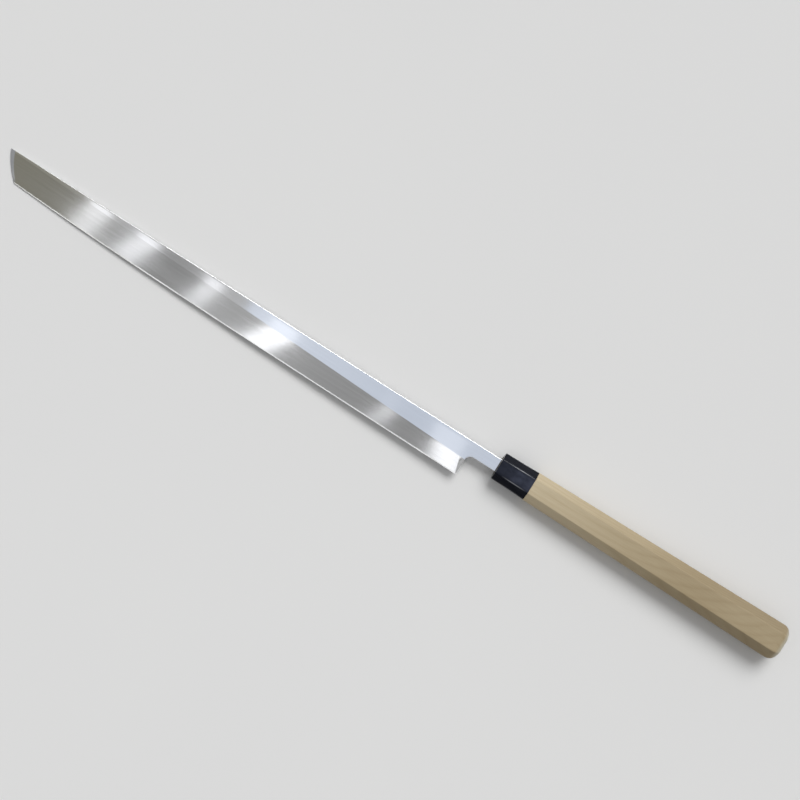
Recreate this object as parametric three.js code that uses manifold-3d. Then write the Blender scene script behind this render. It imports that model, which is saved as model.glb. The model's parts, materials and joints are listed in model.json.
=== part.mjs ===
// Tuna knife: a long double-bevelled blade with a hidden tang, in an octagonal magnolia handle with a horn
// ferrule. Sizes are in millimetres. In the knife's own axes x runs from the tip to the butt along the middle
// of the handle, y points to the spine, z is square to the flat of the blade, and x = 0 is the mouth of the
// ferrule. The exported group lies as the knife does on a table, on its tip and the lip of the ferrule.
import * as THREE from "three";
import { mergeVertices } from "three/addons/utils/BufferGeometryUtils.js";
import Module from "manifold-3d";

const wasm = await Module();
wasm.setup();
const { lerp } = THREE.MathUtils;

// Driving dimensions of the blade and its tang
const blade = {
  length: 540, // tip to heel
  heelWidth: 36.6,
  taper: 4.3, // width that the straight part of the edge loses between heel and tip
  sweep: 5.9, // further width that the edge loses where it sweeps up to the tip
  sweepPower: 4.5, // the higher, the later the sweep begins
  neckThickness: 4.1, // at the ferrule, thinning evenly to the tip
  tipThickness: 2.0,
  tipFlat: 1.6, // width of the flat beside the spine at the tip
  tipSlant: 21.1, // how far the slanted end runs back from the point to the edge
  tipBulge: 2.4, // how far the slanted end bows out
  tipBevel: 5, // run of the bevel along the slanted end
  edgeBevel: 1, // run of the fine bevel along the edge
  edgeBevelThickness: 0.36,
  bevelCrown: 0.008, // how far the bevels swell, as a share of their run
  ease: 0.45, // broken corners of the spine, neck and tang
  heelEase: 6, // run of the softened corner at the heel, beside the ridge
  heelEaseEdge: 0.6, // its run beside the edge
  heelEaseLeft: 0.6, // share of the thickness that the softened corner leaves at the edge
};
const neck = { length: 31.3, height: 13.8, choilRadius: 6.2 };
const tang = { length: 200, endHeight: 6.5, endThickness: 2.4 };

// Driving dimensions of the handle: octagons with their wide facets parallel to the blade
const ferrule = {
  length: 37.3,
  front: { height: 28.8, thickness: 24.2, corner: 7 },
  back: { height: 30.4, thickness: 25.2, corner: 7.4 },
  lip: 0.8, // broken edge of the mouth
  arris: 0.9,
};
const handle = {
  length: 293, // wood behind the ferrule
  front: { height: 30.8, thickness: 25.6, corner: 7.5 },
  back: { height: 37.3, thickness: 30, corner: 8.4 },
  buttRun: 11, // length of the rounding at the butt
  buttInset: 12.4, // how far the rounding draws in
  arris: 0.7,
};
const tenon = { mouthRadius: 9.8, shoulderRadius: 10.5 };
const seal = { wall: 1.5, depth: 5, radius: 3 };
const fitGap = 0.3; // between pieces that are fitted into each other

// Fineness of the mesh
const bevelSteps = 7;
const bladeStations = 26;
const stationCrowding = 1.5; // above 1, stations lie closer together near the tip
const leanLength = 70; // stretch behind the tip where stations turn from the slanted end to square
const heelSteps = 3;
const choilSteps = 7;
const buttSteps = 8;
const roundSegments = 48;
const cornerSegments = 6;
const overshoot = 1; // how far a cutting shape passes the face that it cuts

// Places that follow from the dimensions
const heelX = -neck.length;
const tipX = heelX - blade.length;
const spineY = neck.height / 2;
const heelFlat = neck.height + neck.choilRadius - blade.ease;
const shoulderX = ferrule.length + fitGap;
const buttX = shoulderX + handle.length;

// A geometry with only positions, shared corners merged, and no triangle that has lost its area.
function weld(geometry) {
  geometry.deleteAttribute("normal");
  geometry.deleteAttribute("uv");
  const merged = mergeVertices(geometry);
  const kept = [];
  for (let i = 0; i < merged.index.count; i += 3) {
    const [a, b, c] = [0, 1, 2].map((step) => merged.index.getX(i + step));
    if (a !== b && b !== c && c !== a) {
      kept.push(a, b, c);
    }
  }
  merged.setIndex(kept);
  return merged;
}

// Skin over rings that follow each other towards +x, each counterclockwise seen from +x.
// A first ring that has closed to a sharp edge needs no cap.
function loft(rings, { sharpStart = false } = {}) {
  const count = rings[0].length;
  const last = (rings.length - 1) * count;
  const triangles = [];
  for (let start = 0; start < last; start += count) {
    for (let i = 0; i < count; i += 1) {
      const a = start + i;
      const b = start + ((i + 1) % count);
      triangles.push(a, b, a + count, b, b + count, a + count);
    }
  }
  for (let i = 1; i + 1 < count; i += 1) {
    triangles.push(last, last + i, last + i + 1);
    if (!sharpStart) {
      triangles.push(0, i + 1, i);
    }
  }
  const positions = rings.flat().flatMap((point) => point.toArray());
  const geometry = new THREE.BufferGeometry();
  geometry.setAttribute("position", new THREE.Float32BufferAttribute(positions, 3));
  geometry.setIndex(triangles);
  return weld(geometry);
}

function toSolid(geometry) {
  const { attributes, index } = weld(geometry);
  const mesh = new wasm.Mesh({
    numProp: 3,
    vertProperties: Float32Array.from(attributes.position.array),
    triVerts: Uint32Array.from(index.array),
  });
  return new wasm.Manifold(mesh);
}

function toGeometry(solid) {
  const { vertProperties, triVerts } = solid.getMesh();
  const geometry = new THREE.BufferGeometry();
  geometry.setAttribute("position", new THREE.BufferAttribute(vertProperties, 3));
  geometry.setIndex(new THREE.BufferAttribute(triVerts, 1));
  return geometry;
}

// Blade: from 0 at the heel to 1 at the tip.
function reach(x) {
  return Math.max(0, (heelX - x) / blade.length);
}

function bladeWidth(x) {
  const q = reach(x);
  return blade.heelWidth - blade.taper * q - blade.sweep * q ** blade.sweepPower;
}

function halfThickness(x) {
  return lerp(blade.neckThickness, blade.tipThickness, x / tipX) / 2;
}

// One side of the blade's section at x, from spine to edge: distance below the spine, height off the middle.
// Corner of the spine, flat, ridge, crowned bevel in even steps, fine bevel, edge.
function bladeSide(x) {
  const half = halfThickness(x);
  const width = bladeWidth(x);
  const ridge = lerp(heelFlat, blade.tipFlat, reach(x));
  const bevelEnd = width - blade.edgeBevel;
  const side = [[0, half - blade.ease], [blade.ease, half]];
  for (let i = 0; i <= bevelSteps; i += 1) {
    const t = i / bevelSteps;
    const swell = blade.bevelCrown * (bevelEnd - ridge) * 4 * t * (1 - t);
    side.push([lerp(ridge, bevelEnd, t), lerp(half, blade.edgeBevelThickness / 2, t) + swell]);
  }
  side.push([width, 0]);
  return side;
}

// One side of the neck's or tang's section, with as many points as the blade's.
function tangSide(high, low, half) {
  const side = [[high, half - blade.ease], [high - blade.ease, half], [low + blade.ease, half]];
  for (let i = 0; i < bevelSteps; i += 1) {
    side.push([low, half - blade.ease]);
  }
  side.push([low, 0]);
  return side;
}

// A closed ring from the points of one side and their mirror images on the other.
function mirroredRing(side) {
  const other = side.slice(0, -1).reverse();
  return [...side, ...other.map(({ x, y, z }) => new THREE.Vector3(x, y, -z))];
}

// The slanted end: how far it lies behind the point, by the share v of the way from spine to edge.
function slantedEnd(v) {
  return blade.tipSlant * v - 4 * blade.tipBulge * v * (1 - v);
}

// The sharp rim of the slanted end, where both faces meet.
function tipRing(corner, cornerWidth) {
  return mirroredRing(corner.map(([depth]) => {
    const v = depth / cornerWidth;
    return new THREE.Vector3(tipX + slantedEnd(v), spineY - depth, 0);
  }));
}

// A ring of the blade that starts at x on the spine and leans back like the slanted end.
function bladeRing(x, lean, corner, cornerWidth) {
  return mirroredRing(corner.map(([cornerDepth], i) => {
    const pointX = x + lean * slantedEnd(cornerDepth / cornerWidth);
    const [depth, height] = bladeSide(pointX)[i];
    return new THREE.Vector3(pointX, spineY - depth, height);
  }));
}

// A ring of the softened heel corner, from where it starts at t = 0 to the heel at t = 1. It thins the blade
// below the ridge, more and more towards the heel and the edge, over a run that narrows down to the edge.
function heelRing(t) {
  const ridgeColumn = 2;
  const lastColumn = ridgeColumn + bevelSteps + 1;
  const side = [];
  for (let i = 0; i <= lastColumn; i += 1) {
    const down = Math.max(0, i - ridgeColumn) / (lastColumn - ridgeColumn);
    const x = heelX - lerp(blade.heelEase, blade.heelEaseEdge, down) * (1 - t);
    const [depth, height] = bladeSide(x)[i];
    const left = 1 - (1 - blade.heelEaseLeft) * down * t ** 2;
    side.push(new THREE.Vector3(x, spineY - depth, height * left));
  }
  return mirroredRing(side);
}

function tangRing(x, high, low, half) {
  return mirroredRing(tangSide(high, low, half).map(([y, z]) => new THREE.Vector3(x, y, z)));
}

function makeBlade() {
  const corner = bladeSide(tipX + blade.tipSlant);
  const cornerWidth = corner.at(-1)[0];
  const rings = [tipRing(corner, cornerWidth)];
  const firstX = tipX + blade.tipBevel;
  const lastX = heelX - blade.heelEase;
  for (let i = 0; i < bladeStations; i += 1) {
    const x = lerp(firstX, lastX, (i / bladeStations) ** stationCrowding);
    const lean = Math.max(0, 1 - (x - firstX) / leanLength);
    rings.push(bladeRing(x, lean, corner, cornerWidth));
  }
  for (let i = 0; i <= heelSteps; i += 1) {
    rings.push(heelRing(i / heelSteps));
  }
  for (let i = 0; i <= choilSteps; i += 1) {
    const angle = (Math.PI / 2) * (i / choilSteps);
    const x = heelX + neck.choilRadius * (1 - Math.cos(angle));
    const low = -spineY - neck.choilRadius * (1 - Math.sin(angle));
    rings.push(tangRing(x, spineY, low, halfThickness(x)));
  }
  rings.push(tangRing(0, spineY, -spineY, halfThickness(0)));
  rings.push(tangRing(tang.length, tang.endHeight / 2, -tang.endHeight / 2, tang.endThickness / 2));
  return loft(rings, { sharpStart: true });
}

// An octagon across the handle at x, drawn in all round by inset, with each corner broken by arris.
function octagonRing(x, { height, thickness, corner }, arris, inset = 0) {
  const y = height / 2 - inset;
  const z = thickness / 2 - inset;
  const cut = corner - inset * (2 - Math.SQRT2);
  const quarter = [[y - cut, z], [cut - y, z], [-y, z - cut], [-y, cut - z]];
  const corners = [...quarter, ...quarter.map(([py, pz]) => [-py, -pz])];
  const points = corners.map(([py, pz]) => new THREE.Vector3(x, py, pz));
  return points.flatMap((point, i) => {
    const before = points.at(i - 1);
    const after = points[(i + 1) % points.length];
    return [before, after].map((other) => point.clone().add(other.clone().sub(point).setLength(arris)));
  });
}

function mixSections(a, b, t) {
  return {
    height: lerp(a.height, b.height, t),
    thickness: lerp(a.thickness, b.thickness, t),
    corner: lerp(a.corner, b.corner, t),
  };
}

// A round taper along x.
function taper(x0, radius0, x1, radius1) {
  const shape = new THREE.CylinderGeometry(radius1, radius0, x1 - x0, roundSegments);
  return shape.rotateZ(-Math.PI / 2).translate((x0 + x1) / 2, 0, 0);
}

// A rounded rectangle across the handle, high along y and thick along z.
function roundedRectangle(height, thickness, radius) {
  const y = height / 2 - radius;
  const z = thickness / 2 - radius;
  const shape = new THREE.Shape();
  shape.absarc(y, z, radius, 0, Math.PI / 2);
  shape.absarc(-y, z, radius, Math.PI / 2, Math.PI);
  shape.absarc(-y, -z, radius, Math.PI, 1.5 * Math.PI);
  shape.absarc(y, -z, radius, 1.5 * Math.PI, 2 * Math.PI);
  shape.closePath();
  return shape;
}

// A shape drawn in y and z, extruded from x0 to x1.
function extrudeAlongX(shape, x0, x1) {
  const options = { depth: x1 - x0, bevelEnabled: false, curveSegments: cornerSegments };
  const turn = new THREE.Matrix4().makeBasis(
    new THREE.Vector3(0, 1, 0),
    new THREE.Vector3(0, 0, 1),
    new THREE.Vector3(1, 0, 0),
  );
  return new THREE.ExtrudeGeometry(shape, options).applyMatrix4(turn).translate(x0, 0, 0);
}

// The space that the seal fills round the neck, larger all round by grow.
function sealOutline(grow) {
  const height = neck.height + 2 * (seal.wall + grow);
  const thickness = blade.neckThickness + 2 * (seal.wall + grow);
  return roundedRectangle(height, thickness, seal.radius + grow);
}

function makeSeal() {
  const outline = sealOutline(-fitGap);
  const opening = roundedRectangle(neck.height + 2 * fitGap, blade.neckThickness + 2 * fitGap, blade.ease);
  outline.holes.push(opening);
  return weld(extrudeAlongX(outline, 0, seal.depth - fitGap));
}

function makeFerrule() {
  const lipSection = mixSections(ferrule.front, ferrule.back, ferrule.lip / ferrule.length);
  const outside = loft([
    octagonRing(0, ferrule.front, ferrule.arris, ferrule.lip),
    octagonRing(ferrule.lip, lipSection, ferrule.arris),
    octagonRing(ferrule.length, ferrule.back, ferrule.arris),
  ]);
  const slope = (tenon.shoulderRadius - tenon.mouthRadius) / ferrule.length;
  const bore = taper(
    -overshoot,
    tenon.mouthRadius + fitGap - slope * overshoot,
    ferrule.length + overshoot,
    tenon.shoulderRadius + fitGap + slope * overshoot,
  );
  return toGeometry(toSolid(outside).subtract(toSolid(bore)));
}

// The tapering octagon of the handle, rounded off at the butt.
function handleBody() {
  const rings = [octagonRing(shoulderX, handle.front, handle.arris)];
  for (let i = 0; i <= buttSteps; i += 1) {
    const angle = (Math.PI / 2) * (i / buttSteps);
    const x = buttX - handle.buttRun * (1 - Math.sin(angle));
    const inset = handle.buttInset * (1 - Math.cos(angle));
    const section = mixSections(handle.front, handle.back, (x - shoulderX) / handle.length);
    rings.push(octagonRing(x, section, handle.arris, inset));
  }
  return loft(rings);
}

function tangSocket() {
  const high = spineY + fitGap;
  const endHigh = tang.endHeight / 2 + fitGap;
  return loft([
    tangRing(-overshoot, high, -high, blade.neckThickness / 2 + fitGap),
    tangRing(0, high, -high, blade.neckThickness / 2 + fitGap),
    tangRing(tang.length + fitGap, endHigh, -endHigh, tang.endThickness / 2 + fitGap),
  ]);
}

function makeHandle() {
  const spigot = taper(0, tenon.mouthRadius, shoulderX + overshoot, tenon.shoulderRadius);
  const sealSeat = extrudeAlongX(sealOutline(0), -overshoot, seal.depth);
  const wood = toSolid(handleBody()).add(toSolid(spigot));
  return toGeometry(wood.subtract(toSolid(tangSocket())).subtract(toSolid(sealSeat)));
}

// A finish by its colour, how metallic it is and how rough.
function finish(color, metalness, roughness) {
  return new THREE.MeshStandardMaterial({ color, metalness, roughness, flatShading: true });
}

function piece(name, geometry, material) {
  const mesh = new THREE.Mesh(geometry, material);
  mesh.name = name;
  return mesh;
}

const knife = new THREE.Group();
knife.add(
  piece("blade", makeBlade(), finish(0xb4b8bd, 1, 0.28)),
  piece("ferrule", makeFerrule(), finish(0x15161a, 0, 0.2)),
  piece("handle", makeHandle(), finish(0xc4b491, 0, 0.6)),
  piece("tang_seal", makeSeal(), finish(0x3b2b1a, 0, 0.45)),
);

// Lying down, the blade dips to its tip: it bears on the rim behind the tip's bevel and on the ferrule's lip.
const tipContactX = tipX + blade.tipBevel;
const lipThickness = lerp(ferrule.front.thickness, ferrule.back.thickness, ferrule.lip / ferrule.length);
const lipDrop = lipThickness / 2 - halfThickness(tipContactX);
knife.rotation.y = -Math.atan2(lipDrop, ferrule.lip - tipContactX);

// The origin is under the middle of the knife, on the table.
const box = new THREE.Box3().setFromObject(knife, true);
const middle = box.getCenter(new THREE.Vector3());
knife.position.set(-middle.x, -middle.y, -box.min.z);

const tunaKnife = new THREE.Group();
tunaKnife.add(knife);
export default tunaKnife;
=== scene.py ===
"""Looks of a long tuna knife: polished steel blade, horn ferrule and octagonal magnolia handle.

Sizes are in millimetres in the knife's own axes: x runs from the tip to the butt along the middle of the
handle, y points to the spine, z is square to the flat of the blade, and x = 0 is the ferrule's mouth.
Sizes of the lamps, the floor and the camera's range are in metres.
"""
import json
import math

import bmesh
import bpy
from mathutils import Matrix, Vector


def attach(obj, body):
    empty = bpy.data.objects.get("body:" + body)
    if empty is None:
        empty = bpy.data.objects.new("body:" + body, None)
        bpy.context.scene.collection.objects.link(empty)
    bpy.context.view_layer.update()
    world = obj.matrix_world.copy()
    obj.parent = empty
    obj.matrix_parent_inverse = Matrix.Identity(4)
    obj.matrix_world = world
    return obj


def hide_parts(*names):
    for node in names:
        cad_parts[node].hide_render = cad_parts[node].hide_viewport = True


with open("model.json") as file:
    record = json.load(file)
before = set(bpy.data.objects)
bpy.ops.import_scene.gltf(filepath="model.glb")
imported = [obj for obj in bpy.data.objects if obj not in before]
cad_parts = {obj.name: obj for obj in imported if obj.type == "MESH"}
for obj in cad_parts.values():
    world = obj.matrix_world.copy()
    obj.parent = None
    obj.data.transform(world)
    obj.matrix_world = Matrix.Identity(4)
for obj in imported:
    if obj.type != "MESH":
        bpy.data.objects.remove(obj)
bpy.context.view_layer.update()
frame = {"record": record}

MM = 0.001

# Blade and tang
BLADE_LENGTH = 540  # tip to heel
HEEL_WIDTH = 36.6
TAPER = 4.3  # width that the straight part of the edge loses between heel and tip
SWEEP = 5.9  # further width that the edge loses where it sweeps up to the tip
SWEEP_POWER = 4.5  # the higher, the later the sweep begins
NECK_THICKNESS = 4.1  # at the ferrule, thinning evenly to the tip
TIP_THICKNESS = 2.0
TIP_FLAT = 1.6  # width of the flat beside the spine at the tip
TIP_SLANT = 21.1  # how far the slanted end runs back from the point to the edge
TIP_BULGE = 2.4  # how far the slanted end bows out
TIP_BEVEL = 5  # run of the bevel along the slanted end, beside the spine
TIP_BEVEL_LOW = 2.2  # its run beside the edge
TIP_EDGE = 0.6  # run of the fine bevel along the slanted end
EDGE_BEVEL = 1  # run of the fine bevel along the edge
EDGE_BEVEL_THICKNESS = 0.36
BEVEL_CROWN = 0.008  # how far the bevels swell, as a share of their run
EASE = 0.45  # rounded corners of the spine, neck and tang
HEEL_EASE = 6  # run of the softened corner at the heel, beside the ridge
HEEL_EASE_EDGE = 0.6  # its run beside the edge
HEEL_EASE_LEFT = 0.6  # share of the thickness that the softened corner leaves at the edge
NECK_LENGTH = 31.3
NECK_HEIGHT = 13.8
CHOIL_RADIUS = 6.2
TANG_LENGTH = 200
TANG_END_HEIGHT = 6.5
TANG_END_THICKNESS = 2.4
MOUNT_X = -120  # where the mounts lie on the blade's flats

# Handle: octagons given as height, thickness and cut corner
FERRULE_LENGTH = 37.3
FERRULE_FRONT = (28.8, 24.2, 7.0)
FERRULE_BACK = (30.4, 25.2, 7.4)
LIP = 0.8  # rounded edge of the ferrule's mouth
WOOD_LENGTH = 293
WOOD_FRONT = (30.8, 25.6, 7.5)
WOOD_BACK = (37.3, 30.0, 8.4)
BUTT_RUN = 11  # length of the rounding at the butt
BUTT_INSET = 12.4  # how far the rounding draws in
WOOD_EDGE = 0.25  # broken edge of the wood at the ferrule
WOOD_ARRIS = 0.7  # rounded corners between facets
HORN_ARRIS = 0.9
TENON_MOUTH_RADIUS = 9.8
TENON_SHOULDER_RADIUS = 10.5
SEAL_WALL = 1.5
SEAL_DEPTH = 5
SEAL_RADIUS = 3
SEAL_DISH = 0.35  # how far the middle of the seal's face sinks
FIT_GAP = 0.3  # between pieces that are fitted into each other
JOINT_GAP = 0.06  # between the ferrule and the wood

# Fineness of the meshes
ROUND_STEPS = 4
FLAT_STEPS = 5
BEVEL_STEPS = 12
BLADE_STATIONS = 110
STATION_CROWDING = 1.3  # above 1, stations lie closer together near the tip
LEAN_LENGTH = 70  # stretch behind the tip where stations turn from the slanted end to square
HEEL_STEPS = 6
CHOIL_STEPS = 12
NECK_STEPS = 8
FACET_STEPS = 8
WOOD_STATIONS = 24
BUTT_STEPS = 16
SEARCH_STEPS = 40  # halvings that find a point of a rounded rectangle
WELD = 1e-4  # points closer than this become one

# Places that follow from the sizes
HEEL_X = -NECK_LENGTH
TIP_X = HEEL_X - BLADE_LENGTH
SPINE_Y = NECK_HEIGHT / 2
HEEL_FLAT = NECK_HEIGHT + CHOIL_RADIUS - EASE
SHOULDER_X = FERRULE_LENGTH + FIT_GAP
BUTT_X = SHOULDER_X + WOOD_LENGTH
RIDGE_COLUMN = ROUND_STEPS + FLAT_STEPS
SHOULDER_COLUMN = RIDGE_COLUMN + BEVEL_STEPS
EDGE_COLUMN = SHOULDER_COLUMN + 1
TIP_RINGS = 2  # rings along the slanted end: its edge and the end of its fine bevel
FLAT_SLOT, BEVEL_SLOT, EDGE_SLOT = range(3)  # materials of the blade

# Camera: the picture is square, and its middle lies on the blade
PICTURE_WIDTH = 786  # what the picture spans at the blade
PICTURE_MIDDLE = (-116.2, 2.65)
PICTURE_TURN = math.radians(32.4)  # the knife runs down to the right
CAMERA_LEAN = math.radians(2.2)  # towards the edge
LENS = 80
SENSOR = 36
CAMERA_RANGE = (0.05, 50)


def lerp(a, b, t):
    return a + (b - a) * t


def knife_axes():
    """The knife's own axes in the frame, from the mounts opposite each other on the blade's flats."""
    mounts = {m["name"]: m for m in frame["record"]["mounts"]}
    upper, lower = mounts["blade_flat_upper"], mounts["blade_flat_lower"]
    up = (Vector(upper["axis"]) - Vector(lower["axis"])).normalized()
    to_spine = Vector((0, 1, 0))
    along = to_spine.cross(up)
    middle = (Vector(upper["pos_m"]) + Vector(lower["pos_m"])) / 2
    axes = Matrix((along, to_spine, up)).transposed().to_4x4()
    axes.translation = middle - along * (MOUNT_X * MM)
    return axes


KNIFE = knife_axes()


# Blade

def reach(x):
    """From 0 at the heel to 1 at the tip."""
    return max(0.0, (HEEL_X - x) / BLADE_LENGTH)


def blade_width(x):
    q = reach(x)
    return HEEL_WIDTH - TAPER * q - SWEEP * q**SWEEP_POWER


def half_thickness(x):
    return lerp(NECK_THICKNESS, TIP_THICKNESS, x / TIP_X) / 2


def ridge_depth(x):
    return lerp(HEEL_FLAT, TIP_FLAT, reach(x))


def rounded_corner(depth, height, sign):
    """Points of a rounded corner that starts at depth, as (depth, height)."""
    points = []
    for i in range(ROUND_STEPS + 1):
        angle = math.pi / 2 * i / ROUND_STEPS
        points.append((depth + sign * EASE * (1 - math.cos(angle)), height - EASE * (1 - math.sin(angle))))
    return points


def bevel_point(x, t):
    """Distance below the spine and height off the middle at the share t of the way down the bevel."""
    ridge, end = ridge_depth(x), blade_width(x) - EDGE_BEVEL
    swell = BEVEL_CROWN * (end - ridge) * 4 * t * (1 - t)
    return lerp(ridge, end, t), lerp(half_thickness(x), EDGE_BEVEL_THICKNESS / 2, t) + swell


def bevel_slope(x, t):
    """How steeply the bevel falls towards the edge there."""
    run = blade_width(x) - EDGE_BEVEL - ridge_depth(x)
    return (half_thickness(x) - EDGE_BEVEL_THICKNESS / 2) / run - BEVEL_CROWN * 4 * (1 - 2 * t)


def blade_side(x):
    """One side of the section at x from spine to edge: distance below the spine, height off the middle."""
    half, width, ridge = half_thickness(x), blade_width(x), ridge_depth(x)
    side = rounded_corner(0, half, 1)
    side += [(lerp(EASE, ridge, i / FLAT_STEPS), half) for i in range(1, FLAT_STEPS + 1)]
    side += [bevel_point(x, i / BEVEL_STEPS) for i in range(1, BEVEL_STEPS + 1)]
    side.append((width, 0))
    return side


def tang_side(high, low, half):
    """One side of the neck's or tang's section, with as many points as the blade's."""
    depth = high - low
    side = rounded_corner(0, half, 1)
    side += [(lerp(EASE, depth - EASE, i / FLAT_STEPS), half) for i in range(1, FLAT_STEPS + 1)]
    side += rounded_corner(depth, half, -1)[-2::-1]
    side += [(depth, half - EASE)] * (BEVEL_STEPS - ROUND_STEPS)
    side.append((depth, 0))
    return [(high - d, h) for d, h in side]


def mirrored_ring(side):
    """A closed ring from the points of one side and their mirror images on the other."""
    return side + [(x, y, -z) for x, y, z in side[-2::-1]]


def slanted_end(v):
    """How far the slanted end lies behind the point, by the share v of the way from spine to edge."""
    return TIP_SLANT * v - 4 * TIP_BULGE * v * (1 - v)


def heel_ring(t):
    """A ring of the softened heel corner, from where it starts at t = 0 to the heel at t = 1."""
    side = []
    for column in range(EDGE_COLUMN + 1):
        down = max(0, column - RIDGE_COLUMN) / (EDGE_COLUMN - RIDGE_COLUMN)
        x = HEEL_X - lerp(HEEL_EASE, HEEL_EASE_EDGE, down) * (1 - t)
        depth, height = blade_side(x)[column]
        left = 1 - (1 - HEEL_EASE_LEFT) * down * t**2
        side.append((x, SPINE_Y - depth, height * left))
    return mirrored_ring(side)


def blade_rings():
    """Rings of the slanted end, of stations that turn square behind it, and of the softened heel."""
    corner = blade_side(TIP_X + TIP_SLANT)
    shares = [depth / corner[-1][0] for depth, _ in corner]
    rings = []
    for run, half in ((0, 0), (TIP_EDGE, EDGE_BEVEL_THICKNESS / 2)):
        side = [
            (TIP_X + run + slanted_end(v), SPINE_Y - depth, min(height, half))
            for v, (depth, height) in zip(shares, corner)
        ]
        rings.append(mirrored_ring(side))
    first_x, last_x = TIP_X + TIP_BEVEL, HEEL_X - HEEL_EASE
    for i in range(BLADE_STATIONS):
        x = lerp(first_x, last_x, (i / BLADE_STATIONS) ** STATION_CROWDING)
        lean = max(0.0, 1 - (x - first_x) / LEAN_LENGTH)
        side = []
        for column, v in enumerate(shares):
            point_x = x + lean * slanted_end(v)
            if i == 0:
                point_x -= (TIP_BEVEL - TIP_BEVEL_LOW) * v
            depth, height = blade_side(point_x)[column]
            side.append((point_x, SPINE_Y - depth, height))
        rings.append(mirrored_ring(side))
    rings += [heel_ring(i / HEEL_STEPS) for i in range(HEEL_STEPS + 1)]
    return rings


def neck_rings():
    """Rings of the rounded corner behind the heel, of the neck and of the tang."""
    rings = []
    for i in range(CHOIL_STEPS + 1):
        angle = math.pi / 2 * i / CHOIL_STEPS
        x = HEEL_X + CHOIL_RADIUS * (1 - math.cos(angle))
        low = -SPINE_Y - CHOIL_RADIUS * (1 - math.sin(angle))
        rings.append((x, SPINE_Y, low, half_thickness(x)))
    for i in range(1, NECK_STEPS + 1):
        x = lerp(HEEL_X + CHOIL_RADIUS, 0, i / NECK_STEPS)
        rings.append((x, SPINE_Y, -SPINE_Y, half_thickness(x)))
    rings.append((TANG_LENGTH, TANG_END_HEIGHT / 2, -TANG_END_HEIGHT / 2, TANG_END_THICKNESS / 2))
    sides = [[(x, y, z) for y, z in tang_side(high, low, half)] for x, high, low, half in rings]
    return [mirrored_ring(side) for side in sides]


# Meshes

def skin(rings, cap_start=False, cap_end=False, closed=False):
    """A mesh over rings that follow each other, and its vertices ring by ring."""
    mesh = bmesh.new()
    verts = [[mesh.verts.new(Vector(p) * MM) for p in ring] for ring in rings]
    count = len(rings[0])
    bands = list(zip(verts, verts[1:]))
    if closed:
        bands.append((verts[-1], verts[0]))
    for near, far in bands:
        for i in range(count):
            j = (i + 1) % count
            mesh.faces.new((near[i], near[j], far[j], far[i]))
    if cap_start:
        mesh.faces.new(verts[0][::-1])
    if cap_end:
        mesh.faces.new(verts[-1])
    return mesh, verts


def mark_sharp(mesh, a, b):
    edge = mesh.edges.get((a, b))
    if edge:
        edge.smooth = False


def finish_piece(name, mesh, materials, node):
    """Turns a bmesh into a piece in place of a CAD node."""
    bmesh.ops.remove_doubles(mesh, verts=mesh.verts, dist=WELD * MM)
    bmesh.ops.dissolve_degenerate(mesh, edges=mesh.edges, dist=WELD * MM)
    bmesh.ops.recalc_face_normals(mesh, faces=mesh.faces)
    data = bpy.data.meshes.new(name)
    mesh.to_mesh(data)
    mesh.free()
    data.transform(KNIFE)
    for material in materials:
        data.materials.append(material)
    data.polygons.foreach_set("use_smooth", [True] * len(data.polygons))
    piece = bpy.data.objects.new(name, data)
    bpy.context.scene.collection.objects.link(piece)
    weighted = piece.modifiers.new("facet normals", "WEIGHTED_NORMAL")
    weighted.keep_sharp = True
    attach(piece, "root")
    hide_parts(node)
    return piece


def octagon(x, section, arris, inset=0.0):
    """An octagon across the handle at x, drawn in all round by inset, with corners rounded over an arris."""
    height, thickness, corner = section
    y, z = height / 2 - inset, thickness / 2 - inset
    cut = corner - inset * (2 - math.sqrt(2))
    half = [(y - cut, z), (cut - y, z), (-y, z - cut), (-y, cut - z)]
    corners = [Vector(p) for p in half + [(-py, -pz) for py, pz in half]]
    ring = []
    for i, point in enumerate(corners):
        to_before = (corners[i - 1] - point).normalized() * arris
        to_after = (corners[(i + 1) % len(corners)] - point).normalized() * arris
        for step in range(ROUND_STEPS + 1):
            t = step / ROUND_STEPS
            ring.append(point + to_before * (1 - t) ** 2 + to_after * t**2)
        start, end = point + to_after, corners[(i + 1) % len(corners)]
        end = end + (point - end).normalized() * arris
        ring += [start.lerp(end, step / FACET_STEPS) for step in range(1, FACET_STEPS)]
    return [(x, p.x, p.y) for p in ring]


ANGLES = [math.atan2(z, y) for _, y, z in octagon(0, WOOD_FRONT, WOOD_ARRIS)]


def circle(x, radius):
    return [(x, radius * math.cos(a), radius * math.sin(a)) for a in ANGLES]


def rounded_rectangle(x, height, thickness, radius):
    """A rounded rectangle across the handle at x, at the same angles as the octagons' points."""
    y, z = height / 2 - radius, thickness / 2 - radius
    ring = []
    for angle in ANGLES:
        way = Vector((math.cos(angle), math.sin(angle)))
        low, high = 0.0, height
        for _ in range(SEARCH_STEPS):
            middle = (low + high) / 2
            p = way * middle
            over = Vector((max(abs(p.x) - y, 0), max(abs(p.y) - z, 0)))
            low, high = (middle, high) if over.length < radius else (low, middle)
        ring.append((x, way.x * low, way.y * low))
    return ring


def mix_sections(a, b, t):
    return tuple(lerp(p, q, t) for p, q in zip(a, b))


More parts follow.
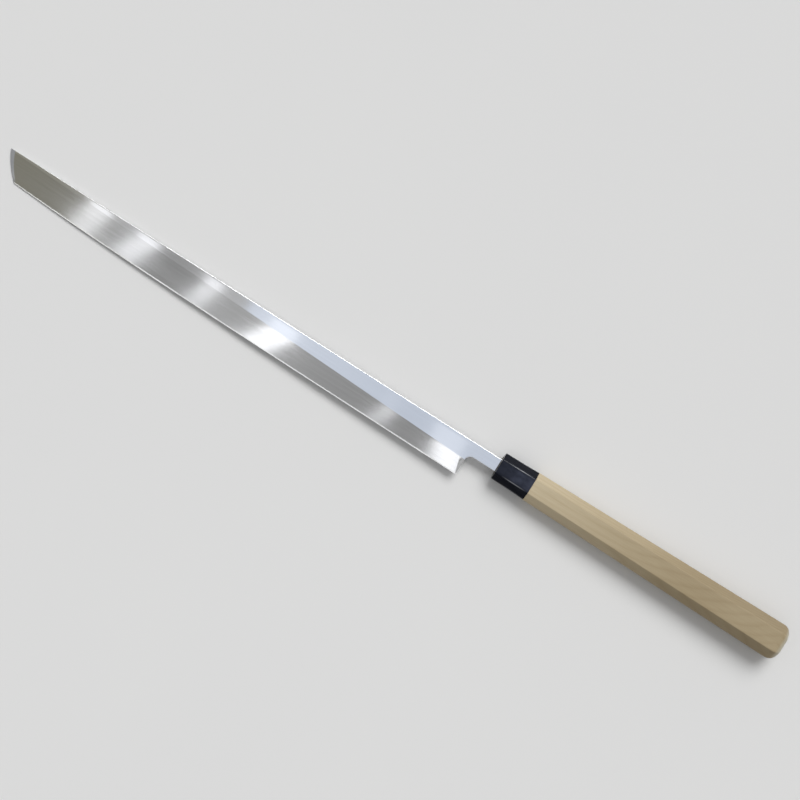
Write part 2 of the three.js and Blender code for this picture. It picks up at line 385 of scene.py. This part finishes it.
def make_blade(materials):
    """The blade, neck and tang, with a material each for the flats, the bevels and the fine bevels."""
    mesh, verts = skin(blade_rings() + neck_rings(), cap_end=True)
    count = len(verts[0])
    place_of = {}
    for r, ring in enumerate(verts):
        for c, vert in enumerate(ring):
            place_of[vert] = (r, min(c, count - 1 - c))
    last_blade_ring = TIP_RINGS + BLADE_STATIONS + HEEL_STEPS
    for face in mesh.faces:
        rings, columns = zip(*[place_of[v] for v in face.verts])
        on_edge = min(rings) < last_blade_ring and min(columns) >= SHOULDER_COLUMN
        on_bevel = min(rings) <= last_blade_ring and min(columns) >= RIDGE_COLUMN
        if on_edge or min(rings) == 0:
            face.material_index = EDGE_SLOT
        elif on_bevel or min(rings) < TIP_RINGS:
            face.material_index = BEVEL_SLOT
        else:
            face.material_index = FLAT_SLOT
    for near, far in zip(verts[:last_blade_ring], verts[1:]):
        for column in (RIDGE_COLUMN, SHOULDER_COLUMN, EDGE_COLUMN):
            for c in (column, count - 1 - column):
                mark_sharp(mesh, near[c], far[c])
    for r in range(TIP_RINGS + 1):
        for c in range(count):
            mark_sharp(mesh, verts[r][c], verts[r][(c + 1) % count])
    for r in (last_blade_ring, last_blade_ring + 1):
        for c in range(RIDGE_COLUMN, count - 1 - RIDGE_COLUMN):
            mark_sharp(mesh, verts[r][c], verts[r][c + 1])
    return finish_piece("blade_steel", mesh, materials, "blade")


def make_ferrule(material):
    rings = []
    slope = (TENON_SHOULDER_RADIUS - TENON_MOUTH_RADIUS) / FERRULE_LENGTH
    mouth = TENON_MOUTH_RADIUS + FIT_GAP
    back_x = SHOULDER_X - JOINT_GAP
    rings.append(circle(back_x, mouth + slope * back_x))
    rings.append(circle(LIP / 2, mouth))
    rings.append(circle(0, mouth + LIP / 2))
    for i in range(ROUND_STEPS + 1):
        angle = math.pi / 2 * i / ROUND_STEPS
        x = LIP * (1 - math.cos(angle))
        section = mix_sections(FERRULE_FRONT, FERRULE_BACK, x / FERRULE_LENGTH)
        rings.append(octagon(x, section, HORN_ARRIS, LIP * (1 - math.sin(angle))))
    rings.append(octagon(back_x, FERRULE_BACK, HORN_ARRIS))
    mesh, verts = skin(rings, closed=True)
    back = verts[-1]
    for c, vert in enumerate(back):
        mark_sharp(mesh, vert, back[c - 1])
    return finish_piece("ferrule_horn", mesh, [material], "ferrule")


def make_handle(material):
    mouth = (NECK_HEIGHT + 2 * FIT_GAP, NECK_THICKNESS + 2 * FIT_GAP)
    end = (TANG_END_HEIGHT + 2 * FIT_GAP, TANG_END_THICKNESS + 2 * FIT_GAP)
    below_seal = mix_sections(mouth, end, SEAL_DEPTH / TANG_LENGTH)
    seat = (NECK_HEIGHT + 2 * SEAL_WALL, NECK_THICKNESS + 2 * SEAL_WALL, SEAL_RADIUS)
    rings = [
        rounded_rectangle(TANG_LENGTH + FIT_GAP, *end, EASE),
        rounded_rectangle(SEAL_DEPTH, *below_seal, EASE),
        rounded_rectangle(SEAL_DEPTH, *seat),
        rounded_rectangle(0, *seat),
        circle(0, TENON_MOUTH_RADIUS),
        circle(SHOULDER_X, TENON_SHOULDER_RADIUS),
        octagon(SHOULDER_X, WOOD_FRONT, WOOD_ARRIS, WOOD_EDGE),
        octagon(SHOULDER_X + WOOD_EDGE, WOOD_FRONT, WOOD_ARRIS),
    ]
    body_end = BUTT_X - BUTT_RUN
    for i in range(1, WOOD_STATIONS):
        x = lerp(SHOULDER_X, body_end, i / WOOD_STATIONS)
        section = mix_sections(WOOD_FRONT, WOOD_BACK, (x - SHOULDER_X) / WOOD_LENGTH)
        rings.append(octagon(x, section, WOOD_ARRIS))
    for i in range(BUTT_STEPS + 1):
        angle = math.pi / 2 * i / BUTT_STEPS
        x = BUTT_X - BUTT_RUN * (1 - math.sin(angle))
        section = mix_sections(WOOD_FRONT, WOOD_BACK, (x - SHOULDER_X) / WOOD_LENGTH)
        rings.append(octagon(x, section, WOOD_ARRIS, BUTT_INSET * (1 - math.cos(angle))))
    return finish_piece("handle_wood", skin(rings, cap_start=True, cap_end=True)[0], [material], "handle")


def make_seal(material):
    outer = (NECK_HEIGHT + 2 * (SEAL_WALL - FIT_GAP), NECK_THICKNESS + 2 * (SEAL_WALL - FIT_GAP))
    inner = (NECK_HEIGHT + 2 * FIT_GAP, NECK_THICKNESS + 2 * FIT_GAP)
    radius = SEAL_RADIUS - FIT_GAP
    back_x = SEAL_DEPTH - FIT_GAP
    rings = [rounded_rectangle(back_x, *outer, radius)]
    for i in range(ROUND_STEPS + 1):
        t = i / ROUND_STEPS
        x = SEAL_DISH * 4 * t * (1 - t)
        rings.append(rounded_rectangle(x, *mix_sections(outer, inner, t), lerp(radius, EASE, t)))
    rings.append(rounded_rectangle(back_x, *inner, EASE))
    return finish_piece("tang_seal_resin", skin(rings, closed=True)[0], [material], "tang_seal")


# Materials

MIX_FACTOR, MIX_A, MIX_B, MIX_RESULT = 0, 6, 7, 2  # colour sockets of a mix node


def rgb(red, green, blue):
    return (red, green, blue, 1.0)


def fill_ramp(ramp, stops):
    """Sets the stops of a colour ramp, each a place and a colour."""
    elements = ramp.color_ramp.elements
    while len(elements) < len(stops):
        elements.new(0.5)
    for element, (position, color) in zip(elements, stops):
        element.position, element.color = position, color


class Finish:
    """A material with one Principled surface, and short ways to add the nodes that drive it."""

    def __init__(self, name, **constants):
        self.material = bpy.data.materials.new(name)
        self.material.use_nodes = True
        self.tree = self.material.node_tree
        self.surface = self.tree.nodes["Principled BSDF"]
        for socket, value in constants.items():
            self.surface.inputs[socket.replace("_", " ")].default_value = value
        inputs = {
            "Vector": self.add("ShaderNodeTexCoord").outputs["Object"],
            "Location": KNIFE.translation,
            "Rotation": KNIFE.to_euler(),
        }
        self.place = self.add("ShaderNodeMapping", inputs, vector_type="TEXTURE").outputs["Vector"]

    def add(self, kind, inputs=(), **settings):
        node = self.tree.nodes.new(kind)
        for key, value in settings.items():
            setattr(node, key, value)
        for socket, value in dict(inputs).items():
            self.plug(value, node.inputs[socket])
        return node

    def plug(self, value, socket):
        if isinstance(value, bpy.types.NodeSocket):
            self.tree.links.new(value, socket)
        else:
            socket.default_value = value

    def drive(self, socket, value):
        self.plug(value, self.surface.inputs[socket])

    def split(self, vector):
        return self.add("ShaderNodeSeparateXYZ", {"Vector": vector}).outputs

    def join(self, **axes):
        return self.add("ShaderNodeCombineXYZ", axes).outputs[0]

    def noise(self, scale, detail=2.0, roughness=0.5, distortion=0.0, rotation=(0, 0, 0)):
        """Noise from 0 to 1 with scale features per metre along x, y and z."""
        mapping = {"Vector": self.place, "Scale": scale, "Rotation": rotation}
        inputs = {
            "Vector": self.add("ShaderNodeMapping", mapping).outputs["Vector"],
            "Scale": 1.0,
            "Detail": detail,
            "Roughness": roughness,
            "Distortion": distortion,
        }
        return self.add("ShaderNodeTexNoise", inputs).outputs["Fac"]

    def math(self, operation, a, b=0.0, c=0.0):
        return self.add("ShaderNodeMath", {0: a, 1: b, 2: c}, operation=operation).outputs[0]

    def mean(self, a, b):
        return self.math("ADD", self.math("MULTIPLY", a, 0.5), self.math("MULTIPLY", b, 0.5))

    def spread(self, value, low, high, from_low=0.3, from_high=0.7):
        """Maps a value from a range, by default the usual one of a noise, to the range of low to high."""
        inputs = {"Value": value, "From Min": from_low, "From Max": from_high}
        inputs.update({"To Min": low, "To Max": high})
        return self.add("ShaderNodeMapRange", inputs).outputs["Result"]

    def blend(self, factor, a, b, mode="MIX"):
        node = self.add("ShaderNodeMix", data_type="RGBA", blend_type=mode)
        for index, value in ((MIX_FACTOR, factor), (MIX_A, a), (MIX_B, b)):
            self.plug(value, node.inputs[index])
        return node.outputs[MIX_RESULT]

    def tint(self, factor, color, tint):
        return self.blend(factor, color, self.blend(1.0, color, tint, "MULTIPLY"))

    def ramp(self, factor, stops):
        node = self.add("ShaderNodeValToRGB", {"Fac": factor})
        fill_ramp(node, stops)
        return node.outputs["Color"]

    def bump(self, height, distance, below=None):
        inputs = {"Height": height, "Distance": distance, "Strength": 1.0}
        if below is not None:
            inputs["Normal"] = below
        normal = self.add("ShaderNodeBump", inputs).outputs["Normal"]
        self.drive("Normal", normal)
        return normal


# Steel: grain is given in features per metre along x, y and z
STONE_MARKS = (26, 5200, 5200)
STROKES = (7, 900, 900)
CLOUDS = (22, 70, 70)
WAVES = (16, 45, 45)
MARK_DEPTH = 0.00025
MARK_ROUGHNESS = (-0.012, 0.02)  # what the marks take from the roughness and add to it
HAZE_RUN = 18  # distance below the ridge at which the haze is full


def steel(name, light, dark, smooth, rough, wave, tilt, edge_haze=0.0):
    """Ground steel with stone marks along the blade, tilted a little across it.

    Its roughness lies between smooth and rough, with a haze towards the edge. A wave is a depth in
    millimetres, and a tilt is in radians.
    """
    finish = Finish(name, Metallic=1.0)
    marks = finish.noise(STONE_MARKS, detail=3, rotation=(0, 0, tilt))
    strokes = finish.noise(STROKES, detail=4, roughness=0.65, rotation=(0, 0, -tilt))
    clouds = finish.noise(CLOUDS, detail=3)
    wear = finish.mean(marks, strokes)
    finish.drive("Base Color", finish.blend(finish.spread(wear, 0, 1), dark, light))
    roughness = finish.spread(clouds, smooth, rough)
    roughness = finish.math("ADD", roughness, finish.spread(marks, *MARK_ROUGHNESS))
    if edge_haze:
        x, y, _ = finish.split(finish.place)
        rise = (HEEL_FLAT - TIP_FLAT) / BLADE_LENGTH
        ridge = finish.math("MULTIPLY_ADD", x, -rise, (SPINE_Y - HEEL_FLAT + rise * HEEL_X) * MM)
        below = finish.math("SUBTRACT", ridge, y)
        haze = finish.spread(below, 0.0, edge_haze, 0.0, HAZE_RUN * MM)
        roughness = finish.math("ADD", roughness, haze)
    finish.drive("Roughness", roughness)
    waves = finish.bump(finish.noise(WAVES, detail=1), wave * MM)
    finish.bump(marks, MARK_DEPTH * MM, waves)
    return finish.material


# Horn: places along it are shares of the ferrule's length
HORN_STREAKS = (28, 420, 420)
HORN_HAZE = (60, 150, 150)
HORN_SCRATCHES = (120, 3000, 3000)
SCRATCH_DEPTH = 0.002
# A painted bluish sheen on the horn, a reflection painted into its colour, in patches
SHEEN_PATCHES = (90, 160, 160)
SHEEN_LEAST = 0.4  # share of the painted sheen at the mouth
SHEEN_GROWS = (0.25, 0.7)  # stretch where it grows to the full
SHEEN_FADES = (5, 9)  # distances towards the spine or the edge between which it fades
GLINT_MIDDLE = 0.57  # where the painted highlight on the corners is brightest
GLINT_FADES = (0.1, 0.38)  # distances from there between which the painted highlight fades
GLINT_WIDTH = (0.2, 0.8)  # distances from a corner between which the painted highlight fades


def along_ferrule(share):
    return share * FERRULE_LENGTH * MM


def horn_painted_sheen(finish, x, y):
    """How far the painted bluish sheen covers the horn: more towards the wood, less beside the middle."""
    sheen = finish.spread(x, SHEEN_LEAST, 1.0, *map(along_ferrule, SHEEN_GROWS))
    sheen = finish.math("MULTIPLY", sheen, finish.spread(finish.noise(SHEEN_PATCHES, detail=3), 0.3, 1.0))
    near, far = SHEEN_FADES
    fading = finish.spread(finish.math("ABSOLUTE", y), 1.0, 0.0, near * MM, far * MM)
    return finish.math("MULTIPLY", sheen, fading)


def horn_painted_glint(finish, x, y, z):
    """How far the corners between facets carry a painted highlight, a glint, least near the ends."""
    half_height, half_depth, cut = [
        finish.math("MULTIPLY_ADD", x, (back - front) * share / FERRULE_LENGTH, front * share * MM)
        for front, back, share in zip(FERRULE_FRONT, FERRULE_BACK, (0.5, 0.5, 1.0))
    ]
    place = finish.join(X=finish.math("ABSOLUTE", y), Y=finish.math("ABSOLUTE", z))
    corners = [
        finish.join(X=finish.math("SUBTRACT", half_height, cut), Y=half_depth),
        finish.join(X=half_height, Y=finish.math("SUBTRACT", half_depth, cut)),
    ]
    away = []
    for corner in corners:
        distance = finish.add("ShaderNodeVectorMath", {0: place, 1: corner}, operation="DISTANCE")
        away.append(distance.outputs["Value"])
    near, far = GLINT_WIDTH
    glinting = finish.spread(finish.math("MINIMUM", *away), 1.0, 0.0, near * MM, far * MM)
    from_middle = finish.math("ABSOLUTE", finish.math("SUBTRACT", x, along_ferrule(GLINT_MIDDLE)))
    fading = finish.spread(from_middle, 1.0, 0.0, *map(along_ferrule, GLINT_FADES))
    return finish.math("MULTIPLY", glinting, fading)


def horn():
    """Polished black buffalo horn with faint paler streaks along it, a painted bluish sheen and a painted
    highlight along its corners.
    """
    finish = Finish("horn", Specular_IOR_Level=0.17)
    streaks = finish.noise(HORN_STREAKS, detail=4, roughness=0.6, distortion=0.4)
    haze = finish.noise(HORN_HAZE, detail=2)
    black, dusk = rgb(0.0030, 0.0042, 0.0090), rgb(0.0050, 0.0062, 0.0115)
    # The second and third colours here are painted light: a bluish sheen and a highlight along the corners
    smoke, sheen, glint_color = rgb(0.020, 0.019, 0.021), rgb(0.048, 0.054, 0.082), rgb(0.21, 0.215, 0.23)
    color = finish.ramp(streaks, [(0.35, black), (0.62, dusk), (0.8, smoke)])
    x, y, z = finish.split(finish.place)
    # Painted sheen: a bluish reflection painted on, stronger towards the wood
    color = finish.blend(horn_painted_sheen(finish, x, y), color, sheen)
    # Painted highlight: a paler line along the corners, where they would catch a glint
    color = finish.blend(horn_painted_glint(finish, x, y, z), color, glint_color)
    finish.drive("Base Color", color)
    finish.drive("Roughness", finish.spread(haze, 0.07, 0.15))
    finish.bump(finish.noise(HORN_SCRATCHES, detail=2), SCRATCH_DEPTH * MM)
    return finish.material


# Magnolia: places along it are shares of the wood's length
FIBRES = (38, 1500, 1500)
FIBRE_DEPTH = 0.02
PORES = (170, 3800, 3800)
PORE_DEPTH = 0.012
PORE_PEAKS = (0.68, 0.78)  # only the peaks of their noise show
PORE_SHADE = 0.35
PATCHES = (14, 32, 32)
FIGURE = (0.25, 0.62)  # range of the grain between the deep and the pale colour
RINGS_PER_METRE = 330.0
RING_WAVES = (9, 45, 45)
RING_WANDER = 1.8  # how many rings the waves reach across
PITH_Y = 34  # the pith lies below the handle on the spine side
PITH_DEPTH = 62
PITH_TURN = 90  # where it starts to draw away from the handle, towards the butt
PITH_CURVE = 0.42  # metres that it drops a metre behind there, growing with the square
PATINA_AND_SHADE_STRETCH = (0.0, 0.55)  # stretch where the wood turns darker towards the butt, partly patina and partly painted shade
SIDE_SHADE_STRETCH = (0.4, 0.9)  # the same for the painted shade on its sides
SIDE_FACING = (0.3, 0.7)  # how squarely a face looks sideways, from no side to a full one
END_FACING = (0.45, 0.95)  # how squarely it looks along the knife, from no end grain to the full
END_SHADE = 0.85
SCORCH = (1, 4)  # distances from the mouth between which the scorch fades
SCORCH_WAVER = 0.8
SCORCH_SHADE = 0.9


def along_wood(share):
    return (SHOULDER_X + share * WOOD_LENGTH) * MM


def growth_rings(finish, x, y, z):
    """The tone of the growth rings round the pith."""
    wander = finish.noise(RING_WAVES, detail=2)
    run = finish.math("MAXIMUM", finish.math("SUBTRACT", x, PITH_TURN * MM), 0.0)
    pith_drop = finish.math("MULTIPLY", finish.math("MULTIPLY", run, run), PITH_CURVE)
    across = finish.math("SUBTRACT", y, PITH_Y * MM)
    height = finish.math("ADD", finish.math("ADD", z, PITH_DEPTH * MM), pith_drop)
    from_pith = finish.join(Y=across, Z=height)
    radius = finish.add("ShaderNodeVectorMath", {0: from_pith}, operation="LENGTH").outputs["Value"]
    rings = finish.math("MULTIPLY", radius, RINGS_PER_METRE)
    rings = finish.math("ADD", rings, finish.math("MULTIPLY", wander, RING_WANDER))
    early, late, between = [rgb(tone, tone, tone) for tone in (0.58, 0.32, 0.51)]
    stops = [(0.0, between), (0.45, early), (0.85, late), (1.0, between)]
    return finish.ramp(finish.math("FRACT", rings), stops)


def magnolia():
    """Bare sanded magnolia: pale, with soft growth rings, fine fibres and short pores."""
    finish = Finish("magnolia", Specular_IOR_Level=0.3)
    x, y, z = finish.split(finish.place)
    fibres = finish.noise(FIBRES, detail=4, roughness=0.6)
    pores = finish.noise(PORES, detail=1)
    patches = finish.noise(PATCHES, detail=2)
    deep, pale = rgb(0.465, 0.375, 0.238), rgb(0.580, 0.494, 0.342)
    end_deep, end_pale = rgb(0.47, 0.445, 0.355), rgb(0.60, 0.585, 0.49)
    # Tints that darken the wood towards the butt: painted shade, partly patina, and painted shade on the
    # sides
    patina_and_shade_tint, side_shade_tint = rgb(0.67, 0.63, 0.565), rgb(0.80, 0.79, 0.78)
    pore, burnt = rgb(0.30, 0.235, 0.145), rgb(0.030, 0.018, 0.010)
    figure = finish.spread(finish.mean(growth_rings(finish, x, y, z), fibres), 0, 1, *FIGURE)
    wood = finish.blend(figure, deep, pale)
    # Darker behind its front: partly a handling patina, partly painted shade where the light falls off
    # towards the butt
    patina_and_shade = finish.spread(x, 0.0, 1.0, *map(along_wood, PATINA_AND_SHADE_STRETCH))
    patina_and_shade = finish.math("MULTIPLY", patina_and_shade, finish.spread(patches, 0.8, 1.0))
    wood = finish.tint(patina_and_shade, wood, patina_and_shade_tint)
    wood = finish.blend(finish.spread(pores, 0.0, PORE_SHADE, *PORE_PEAKS), wood, pore)
    # Painted shade: the faces that look sideways are darker towards the butt
    normal = finish.add("ShaderNodeNewGeometry").outputs["Normal"]
    lengthwise, sideways, _ = finish.split(normal)
    side_shade = finish.spread(x, 0.0, 1.0, *map(along_wood, SIDE_SHADE_STRETCH))
    side = finish.spread(finish.math("ABSOLUTE", sideways), 0.0, 1.0, *SIDE_FACING)
    side_shade = finish.math("MULTIPLY", side_shade, side)
    wood = finish.tint(side_shade, wood, side_shade_tint)
    # The end grain at the butt is paler and greyer: a painted highlight on the butt's rounded end, over the
    # end grain's own figure
    end_grain_highlight = finish.blend(figure, end_deep, end_pale)
    wood = finish.blend(finish.spread(lengthwise, 0.0, END_SHADE, *END_FACING), wood, end_grain_highlight)
    # The mouth is scorched where the hot tang was driven in
    waver = finish.spread(patches, -SCORCH_WAVER * MM, SCORCH_WAVER * MM)
    near, far = SCORCH
    scorch = finish.spread(finish.math("ADD", x, waver), SCORCH_SHADE, 0.0, near * MM, far * MM)
    wood = finish.blend(scorch, wood, burnt)
    finish.drive("Base Color", wood)
    finish.drive("Roughness", finish.spread(fibres, 0.5, 0.68))
    finish.bump(fibres, FIBRE_DEPTH * MM, finish.bump(pores, PORE_DEPTH * MM))
    return finish.material


# Resin and floor
SPECKS = (900, 900, 900)
DIMPLES = (250, 250, 250)
DIMPLE_DEPTH = 0.1
FLOOR_CLOUDS = (3, 3, 3)


def resin():
    """Dark resin with a soft shine and small specks."""
    finish = Finish("resin")
    specks = finish.noise(SPECKS, detail=3)
    dark, light = rgb(0.035, 0.024, 0.015), rgb(0.07, 0.048, 0.03)
    finish.drive("Base Color", finish.blend(finish.spread(specks, 0, 1), dark, light))
    finish.drive("Roughness", finish.spread(specks, 0.3, 0.5))
    finish.bump(finish.noise(DIMPLES), DIMPLE_DEPTH * MM)
    return finish.material


def floor_paint():
    finish = Finish("pale_floor", Roughness=0.7, Specular_IOR_Level=0.2)
    dark, light = rgb(0.77, 0.77, 0.77), rgb(0.79, 0.79, 0.785)
    finish.drive("Base Color", finish.blend(finish.noise(FLOOR_CLOUDS), dark, light))
    return finish.material


# Stage

FLOOR_REACH = 40.0


def make_floor():
    data = bpy.data.meshes.new("floor")
    corners = [(x * FLOOR_REACH, y * FLOOR_REACH, 0) for x, y in ((-1, -1), (1, -1), (1, 1), (-1, 1))]
    data.from_pydata(corners, [], [(0, 1, 2, 3)])
    data.materials.append(floor_paint())
    floor = bpy.data.objects.new("floor", data)
    bpy.context.scene.collection.objects.link(floor)


def make_camera():
    """A camera almost square above the blade. The handle runs down to the right in its picture."""
    data = bpy.data.cameras.new("camera")
    data.lens, data.sensor_width = LENS, SENSOR
    data.clip_start, data.clip_end = CAMERA_RANGE
    camera = bpy.data.objects.new("camera", data)
    bpy.context.scene.collection.objects.link(camera)
    back = Vector((0, -math.sin(CAMERA_LEAN), math.cos(CAMERA_LEAN)))
    leaned_y = Vector((0, math.cos(CAMERA_LEAN), math.sin(CAMERA_LEAN)))
    right = Vector((math.cos(PICTURE_TURN), 0, 0)) + leaned_y * math.sin(PICTURE_TURN)
    up = Vector((-math.sin(PICTURE_TURN), 0, 0)) + leaned_y * math.cos(PICTURE_TURN)
    turn = Matrix((right, up, back)).transposed().to_4x4()
    distance = PICTURE_WIDTH * MM * LENS / SENSOR
    turn.translation = Vector((*PICTURE_MIDDLE, 0)) * MM + back * distance
    camera.matrix_world = KNIFE @ turn
    bpy.context.scene.camera = camera
    return camera


def mirrored_to(camera, x, depth, height, normal, level):
    """The point at a level above the floor that shows in the blade at x and a depth below the spine."""
    point = KNIFE @ (Vector((x, SPINE_Y - depth, height)) * MM)
    normal = (KNIFE.to_3x3() @ Vector(normal)).normalized()
    toward = camera.matrix_world.translation - point
    away = 2 * normal.dot(toward) * normal - toward
    return point + away * ((level - point.z) / away.z)


def shown_in_bevel(camera, x, t, level):
    return mirrored_to(camera, x, *bevel_point(x, t), (0, -bevel_slope(x, t), 1), level)


def shown_in_flat(camera, x, level):
    return mirrored_to(camera, x, ridge_depth(x) / 2, half_thickness(x), (0, 0, 1), level)


def shown_in_edge(camera, x, level):
    normal = (0, -EDGE_BEVEL_THICKNESS / 2, EDGE_BEVEL)
    return mirrored_to(camera, x, blade_width(x) - EDGE_BEVEL / 2, EDGE_BEVEL_THICKNESS / 4, normal, level)


def above(x, y, level):
    """The point at a level above the floor over a place given in the knife's own axes."""
    place = KNIFE @ (Vector((x, y, 0)) * MM)
    return Vector((place.x, place.y, level))


def hang_lamp(name, start, end, width, radiance, color=(1, 1, 1)):
    """A lamp that hangs level from start to end and faces down. At a radiance of 1 its face is white."""
    run = end - start
    data = bpy.data.lights.new(name, "AREA")
    data.shape = "RECTANGLE"
    data.size, data.size_y = run.length, width
    data.energy = radiance * run.length * width * math.pi
    data.color = color
    lamp = bpy.data.objects.new(name, data)
    bpy.context.scene.collection.objects.link(lamp)
    lamp.location = (start + end) / 2
    lamp.rotation_euler.z = math.atan2(run.y, run.x)
    lamp.visible_camera = False


# Soft bands that lean across the blade, which mirrors a strip lamp in each: x at the edge, x at the spine,
# width of the lamp, how bright it is over the bevel and over the flat
BANDS = [
    (-476, -468, 0.052, 1.00, 0.90),
    (-424, -412, 0.050, 1.05, 0.96),
    (-342, -335, 0.037, 0.94, 0.88),
    (-267.5, -252.5, 0.060, 1.50, 0.37),
    (-129, -126, 0.030, 0.78, 0.06),
    (-47, -59, 0.070, 1.40, 0.23),
]
RIDGE_SHARE = 0.8  # how far along it a band meets the ridge
STRIP_MARGIN = 0.03  # how far the strips reach past what the blade shows
STRIP_COLOR = (0.96, 0.965, 1.0)
STRIP_DROP = 0.03  # how far the strips hang below the panels, so that both show
FLAT_PANEL = (-293, 40)  # stretch whose flat mirrors the panel
FLAT_PANEL_RADIANCE = 0.43
FLAT_PANEL_COLOR = (0.65, 0.775, 1.0)
FLAT_PANEL_DEPTH = 0.36
FLAT_PANEL_SHIFT = 0.105  # towards the spine, so that the bevels miss it
HEEL_PANEL = (70, 620)  # stretch under a panel that the softened corner at the heel mirrors
HEEL_PANEL_Y = -430
HEEL_PANEL_DEPTH = 0.56
HEEL_PANEL_RADIANCE = 0.25
EDGE_STRIP = (-560, 0)  # stretch whose fine edge bevel mirrors a strip
EDGE_STRIP_DEPTH = 0.10
EDGE_STRIP_RADIANCE = 1.8
SUN_FROM = (0.05, 0.616, 0.788)  # direction from the knife to the sun
SUN_STRENGTH = 1.95
SUN_ANGLE = math.radians(35)
# Brightness of the dome by height: pale at the horizon, dim above it, and paler again round the top
DOME = [
    (0.0, 0.74),
    (0.1, 0.66),
    (0.2, 0.42),
    (0.35, 0.34),
    (0.62, 0.58),
    (0.82, 0.64),
    (0.93, 0.46),
    (1.0, 0.46),
]
# Tint of the dome by direction along the knife: light and dark stretches, warm where the tip mirrors it
ALONG = [
    (-1.0, (0.9, 0.9, 0.9)),
    (-0.65, (0.57, 0.58, 0.60)),
    (-0.42, (0.85, 0.85, 0.85)),
    (-0.29, (0.61, 0.585, 0.475)),
    (-0.237, (0.61, 0.59, 0.50)),
    (-0.207, (1.0, 1.0, 1.0)),
    (-0.17, (0.65, 0.65, 0.645)),
    (-0.13, (1.12, 1.12, 1.12)),
    (-0.085, (0.94, 0.94, 0.94)),
    (-0.055, (0.85, 0.85, 0.85)),
    (-0.01, (0.70, 0.70, 0.70)),
    (0.035, (0.80, 0.80, 0.80)),
    (0.15, (0.66, 0.66, 0.66)),
    (0.45, (0.9, 0.9, 0.9)),
    (0.75, (0.62, 0.62, 0.62)),
    (1.0, (0.8, 0.8, 0.8)),
]
# Tint by direction across the knife: dim beyond the edge
ACROSS = [(-1.0, (0.4, 0.4, 0.4)), (-0.4, (1.0, 1.0, 1.0))]


def make_lamps(camera):
    """Strip lamps and panels placed where the blade mirrors them, and a soft sun."""
    level = camera.matrix_world.translation.z
    low = level - STRIP_DROP
    for i, (foot, head, width, on_bevel, on_flat) in enumerate(BANDS):
        edge_end = shown_in_bevel(camera, foot, 1, low)
        ridge_end = shown_in_bevel(camera, lerp(foot, head, RIDGE_SHARE), 0, low)
        flat_end = shown_in_flat(camera, head, low)
        past_edge = (edge_end - ridge_end).normalized() * STRIP_MARGIN
        past_flat = (flat_end - ridge_end).normalized() * STRIP_MARGIN
        hang_lamp(f"bevel_strip_{i}", edge_end + past_edge, ridge_end, width, on_bevel, STRIP_COLOR)
        hang_lamp(f"flat_strip_{i}", ridge_end, flat_end + past_flat, width, on_flat, STRIP_COLOR)
    shift = Vector((0, FLAT_PANEL_SHIFT, 0))
    start, end = [shown_in_flat(camera, x, level) + shift for x in FLAT_PANEL]
    hang_lamp("flat_panel", start, end, FLAT_PANEL_DEPTH, FLAT_PANEL_RADIANCE, FLAT_PANEL_COLOR)
    start, end = [shown_in_edge(camera, x, level) for x in EDGE_STRIP]
    hang_lamp("edge_strip", start, end, EDGE_STRIP_DEPTH, EDGE_STRIP_RADIANCE)
    start, end = [above(x, HEEL_PANEL_Y, level) for x in HEEL_PANEL]
    hang_lamp("heel_panel", start, end, HEEL_PANEL_DEPTH, HEEL_PANEL_RADIANCE)
    sun = bpy.data.lights.new("sun", "SUN")
    sun.energy, sun.angle = SUN_STRENGTH, SUN_ANGLE
    lamp = bpy.data.objects.new("sun", sun)
    bpy.context.scene.collection.objects.link(lamp)
    lamp.rotation_euler = Vector(SUN_FROM).to_track_quat("Z", "Y").to_euler()


def make_world():
    """A plain dome, pale at the horizon, with tints by direction along and across the knife."""
    world = bpy.data.worlds.new("studio")
    bpy.context.scene.world = world
    world.use_nodes = True
    nodes, links = world.node_tree.nodes, world.node_tree.links
    split = nodes.new("ShaderNodeSeparateXYZ")
    links.new(nodes.new("ShaderNodeTexCoord").outputs["Generated"], split.inputs[0])
    height = nodes.new("ShaderNodeValToRGB")
    links.new(split.outputs["Z"], height.inputs["Fac"])
    fill_ramp(height, [(z, rgb(gray, gray, gray)) for z, gray in DOME])
    color = height.outputs["Color"]
    for axis, stops in (("X", ALONG), ("Y", ACROSS)):
        share = nodes.new("ShaderNodeMapRange")
        share.inputs["From Min"].default_value = -1.0
        links.new(split.outputs[axis], share.inputs["Value"])
        ramp = nodes.new("ShaderNodeValToRGB")
        links.new(share.outputs["Result"], ramp.inputs["Fac"])
        fill_ramp(ramp, [((place + 1) / 2, rgb(*tint)) for place, tint in stops])
        tinted = nodes.new("ShaderNodeMix")
        tinted.data_type, tinted.blend_type = "RGBA", "MULTIPLY"
        tinted.inputs[MIX_FACTOR].default_value = 1.0
        links.new(color, tinted.inputs[MIX_A])
        links.new(ramp.outputs["Color"], tinted.inputs[MIX_B])
        color = tinted.outputs[MIX_RESULT]
    links.new(color, nodes["Background"].inputs["Color"])


flat_steel = steel(
    "steel_flat",
    light=rgb(0.845, 0.85, 0.86),
    dark=rgb(0.765, 0.77, 0.78),
    smooth=0.052,
    rough=0.068,
    wave=0.003,
    tilt=0.02,
)
bevel_steel = steel(
    "steel_bevel",
    light=rgb(0.72, 0.725, 0.73),
    dark=rgb(0.62, 0.625, 0.625),
    smooth=0.058,
    rough=0.072,
    wave=0.004,
    tilt=0.06,
    edge_haze=0.012,
)
edge_steel = steel(
    "steel_edge",
    light=rgb(0.86, 0.865, 0.87),
    dark=rgb(0.78, 0.785, 0.79),
    smooth=0.16,
    rough=0.22,
    wave=0.002,
    tilt=0.03,
)
make_blade([flat_steel, bevel_steel, edge_steel])
make_ferrule(horn())
make_handle(magnolia())
make_seal(resin())
make_floor()
make_lamps(make_camera())
make_world()
bpy.context.scene.view_settings.view_transform = "Standard"
